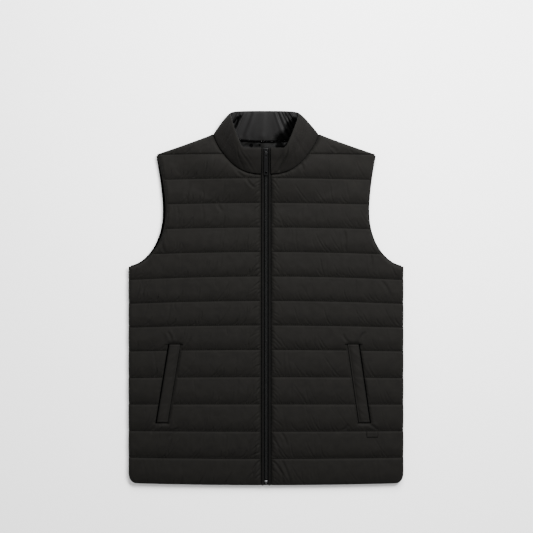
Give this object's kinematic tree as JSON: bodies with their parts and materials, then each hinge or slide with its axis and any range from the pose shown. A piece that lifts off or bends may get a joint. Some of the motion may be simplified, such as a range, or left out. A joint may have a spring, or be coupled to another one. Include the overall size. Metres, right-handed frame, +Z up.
{
  "type": "quilted puffer vest",
  "caption": "Zipped puffer vest laid flat, with horizontal quilted channels, a stand-up padded collar, slanted welt pockets and a hinged zip pull.",
  "frame": {"origin": "bottom centre of the laid vest's bounding box, on the surface that it lies on", "axes": "+Z up from the surface, +Y from the hem to the collar, +X towards the wearer's left"},
  "size_m": [0.5408, 0.736, 0.0461],
  "materials": {
    "shell": "dark matte woven nylon, padded and stitched through",
    "lining": "dark smooth nylon with a soft shine",
    "trim": "black nylon tape, matte",
    "tape": "black woven zip tape",
    "coil": "black moulded coil",
    "black_metal": "black painted cast metal",
    "steel": "bare pressed metal"
  },
  "bodies": {
    "vest": {"back_panel": "shell", "front_panel_left": "shell", "front_panel_right": "shell", "collar_outer": "shell", "collar_inner": "lining", "neck_lining": "lining", "armhole_binding_left": "trim", "armhole_binding_right": "trim", "pocket_welt_left": "shell", "pocket_welt_right": "shell", "hem_label": "shell", "front_band_left": "trim", "front_band_right": "trim", "zip_tape_left": "tape", "zip_tape_right": "tape", "zip_chain": "coil", "zip_slider": "black_metal", "zip_box": "steel", "zip_pin": "steel", "zip_stop_left": "coil", "zip_stop_right": "coil"},
    "zip_pull": {"zip_pull": "black_metal"}
  },
  "joints": [
    {"name": "zip_pull_hinge", "type": "hinge", "parent": "vest", "child": "zip_pull", "pos_m": [0, 0.28298, 0.03843], "axis": [-1, 0, 0], "range_deg": [0, 165]}
  ]
}
